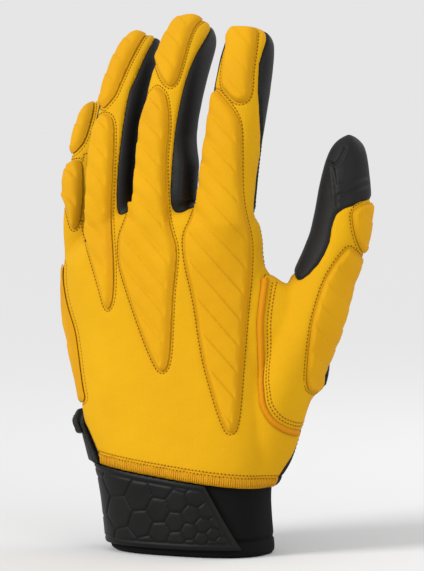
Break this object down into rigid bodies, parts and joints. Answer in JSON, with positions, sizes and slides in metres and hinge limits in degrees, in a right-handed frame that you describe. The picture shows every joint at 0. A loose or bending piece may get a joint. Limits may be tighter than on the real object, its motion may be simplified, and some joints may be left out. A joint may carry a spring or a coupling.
{
  "type": "football receiver glove",
  "caption": "Padded left-hand receiver glove in its worn shape: knit back with raised foam pads, black grip palm and finger sides, black cuff with a rubber wrist strap.",
  "frame": {"origin": "centre of the cuff's mouth, level with its edge", "axes": "+Z from the wrist to the fingertips, -Y out of the back of the hand, +X towards the thumb"},
  "size_m": [0.1397, 0.0674, 0.2249],
  "materials": {
    "gold_knit": "matte stretch knit in golden yellow",
    "gold_foam": "matte knit moulded over soft foam in golden yellow",
    "black_grip": "smooth black synthetic grip leather with a soft sheen",
    "black_knit": "matte black neoprene",
    "black_rubber": "satin moulded black rubber"
  },
  "bodies": {
    "root": {"back_panel": "gold_knit", "thumb_panel": "gold_knit", "palm_panel": "black_grip", "thumb_wrap": "black_grip", "fourchette_pinky_ring": "black_grip", "fourchette_ring_middle": "black_grip", "fourchette_middle_index": "black_grip", "index_tip_pad": "gold_foam", "middle_tip_pad": "gold_foam", "ring_tip_pad": "gold_foam", "pinky_tip_pad": "gold_foam", "index_back_pad": "gold_foam", "middle_back_pad": "gold_foam", "ring_back_pad": "gold_foam", "pinky_back_pad": "gold_foam", "side_pad": "gold_foam", "thumb_tip_pad": "gold_foam", "thumb_base_pad": "gold_foam", "thumb_seam_welt": "gold_foam", "cuff": "black_knit", "wrist_strap": "black_rubber", "heel_tab": "black_grip", "pull_tab": "black_grip"}
  },
  "joints": []
}
